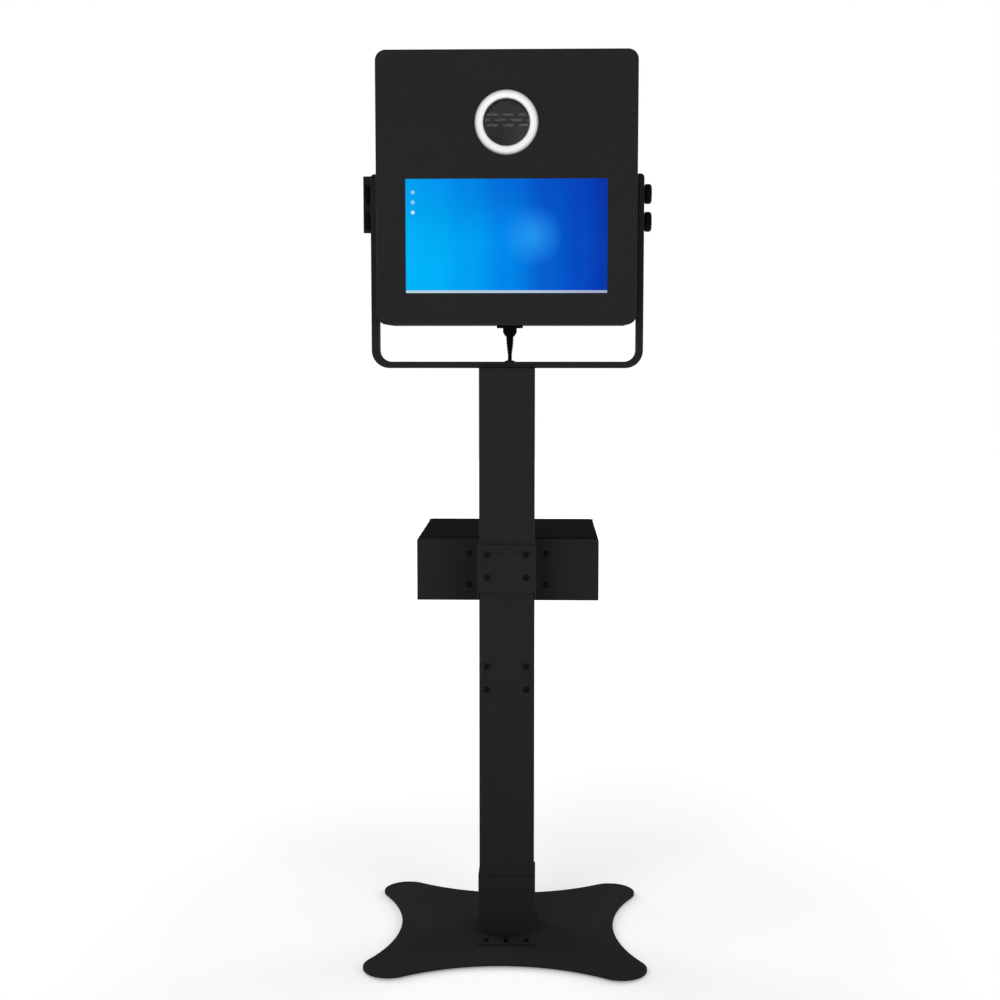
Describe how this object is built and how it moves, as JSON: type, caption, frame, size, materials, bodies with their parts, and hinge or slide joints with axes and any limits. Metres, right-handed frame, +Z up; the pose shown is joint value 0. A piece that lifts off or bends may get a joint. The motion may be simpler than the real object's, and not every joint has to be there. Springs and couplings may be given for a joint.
{
  "type": "photo booth",
  "caption": "Free-standing photo booth: steel head with ring light, camera port and touch screen, tilting in a yoke on a column with a power box and a four-lobed base.",
  "frame": {"origin": "on the floor, under the column's axis, at the bottom face of the middle foot pad", "axes": "+Z up, -Y towards the person in front of the screen, +X to the right as that person sees it"},
  "size_m": [0.5083, 0.5845, 1.568],
  "materials": {
    "powder_black": "fine-texture satin black powder coat",
    "bolt_black": "black-oxide steel fasteners",
    "steel_zinc": "zinc-plated steel",
    "knob_plastic": "moulded black plastic, fine grain",
    "nylon_black": "black nylon",
    "rubber_black": "soft black rubber",
    "diffuser_white": "opal white diffuser",
    "housing_black": "moulded black plastic",
    "board_white": "white solder-masked board",
    "glass_clear": "clear touch glass",
    "lcd_image": "lit display picture",
    "aluminium_plain": "brushed aluminium",
    "pc_case": "anodised finned case",
    "supply_case": "textured plastic case",
    "strip_plastic": "plastic strip housing",
    "inlet_plastic": "black moulded inlet",
    "rocker_red": "red switch rocker",
    "cord_black": "flexible black sheath",
    "lock_chrome": "polished lock plug"
  },
  "bodies": {
    "stand": {"base_plate": "powder_black", "foot_pads": "rubber_black", "foot_socket": "powder_black", "foot_bolts": "bolt_black", "column_lower": "powder_black", "column_upper": "powder_black", "column_joiner": "steel_zinc", "column_screws": "bolt_black", "column_nuts": "steel_zinc", "column_cap": "powder_black", "yoke": "powder_black", "yoke_screws": "bolt_black", "yoke_grommet": "rubber_black", "shelf_bracket": "powder_black", "shelf_box": "powder_black", "shelf_bottom": "powder_black", "shelf_rear_cover": "powder_black", "shelf_screws": "bolt_black", "shelf_feed_grommet": "rubber_black", "mains_inlet": "inlet_plastic", "power_strip": "strip_plastic", "strip_plug": "inlet_plastic", "strip_lead": "cord_black", "power_cord": "cord_black"},
    "rocker": {"rocker_switch": "rocker_red"},
    "head": {"head_shell": "powder_black", "side_plates": "steel_zinc", "weld_nuts": "steel_zinc", "tilt_washers": "nylon_black", "ring_diffuser": "diffuser_white", "ring_housing": "housing_black", "ring_led_board": "board_white", "touch_glass": "glass_clear", "lcd_panel": "lcd_image", "display_clamps": "steel_zinc", "display_standoffs": "steel_zinc", "equipment_plate": "aluminium_plain", "mini_pc": "pc_case", "led_driver": "supply_case", "power_supply": "supply_case", "head_wiring": "cord_black", "camera_shelf": "powder_black", "head_screws": "bolt_black", "power_inlet": "inlet_plastic", "power_plug": "cord_black", "plug_relief": "cord_black", "frame_hinge_leaves": "steel_zinc", "hinge_pins": "steel_zinc"},
    "door": {"rear_door": "powder_black", "door_screws": "bolt_black", "door_hinge_leaves": "steel_zinc", "lock_body": "lock_chrome"},
    "lock": {"lock_cam": "lock_chrome"},
    "camera_carriage": {"camera_plate": "aluminium_plain"},
    "camera_thumb_screw": {"camera_screw": "steel_zinc"},
    "knob_pivot_right": {"knob_pivot_right": "knob_plastic"},
    "knob_pivot_left": {"knob_pivot_left": "knob_plastic"},
    "knob_lock_right": {"knob_lock_right": "knob_plastic"},
    "knob_lock_left": {"knob_lock_left": "knob_plastic"}
  },
  "joints": [
    {"name": "head_tilt", "type": "hinge", "parent": "stand", "child": "head", "pos_m": [0, 0, 1.333], "axis": [1, 0, 0], "range_deg": [-12, 12], "deforming": ["power_cord"]},
    {"name": "rear_door_swing", "type": "hinge", "parent": "head", "child": "door", "pos_m": [0.1935, 0.078, 1.3365], "axis": [0, 0, -1], "range_deg": [0, 110]},
    {"name": "lock_turn", "type": "hinge", "parent": "door", "child": "lock", "pos_m": [-0.167, 0.075, 1.3365], "axis": [0, -1, 0], "range_deg": [0, 90]},
    {"name": "camera_slide", "type": "slide", "parent": "head", "child": "camera_carriage", "axis": [0, 1, 0], "range_m": [-0.025, 0.025]},
    {"name": "camera_screw_turn", "type": "hinge", "parent": "camera_carriage", "child": "camera_thumb_screw", "pos_m": [0, -0.0015, 1.4], "axis": [0, 0, -1], "range_deg": [0, 270]},
    {"name": "rocker_tip", "type": "hinge", "parent": "stand", "child": "rocker", "pos_m": [0.086, 0.3475, 0.665], "axis": [-1, 0, 0], "range_deg": [0, 20]},
    {"name": "knob_pivot_right_turn", "type": "hinge", "parent": "head", "child": "knob_pivot_right", "pos_m": [0.238, 0, 1.333], "axis": [1, 0, 0], "range_deg": [0, 270]},
    {"name": "knob_pivot_left_turn", "type": "hinge", "parent": "head", "child": "knob_pivot_left", "pos_m": [-0.238, 0, 1.333], "axis": [-1, 0, 0], "range_deg": [0, 270]},
    {"name": "knob_lock_right_turn", "type": "hinge", "parent": "head", "child": "knob_lock_right", "pos_m": [0.238, 0, 1.285], "axis": [1, 0, 0], "range_deg": [0, 270]},
    {"name": "knob_lock_left_turn", "type": "hinge", "parent": "head", "child": "knob_lock_left", "pos_m": [-0.238, 0, 1.285], "axis": [-1, 0, 0], "range_deg": [0, 270]}
  ]
}
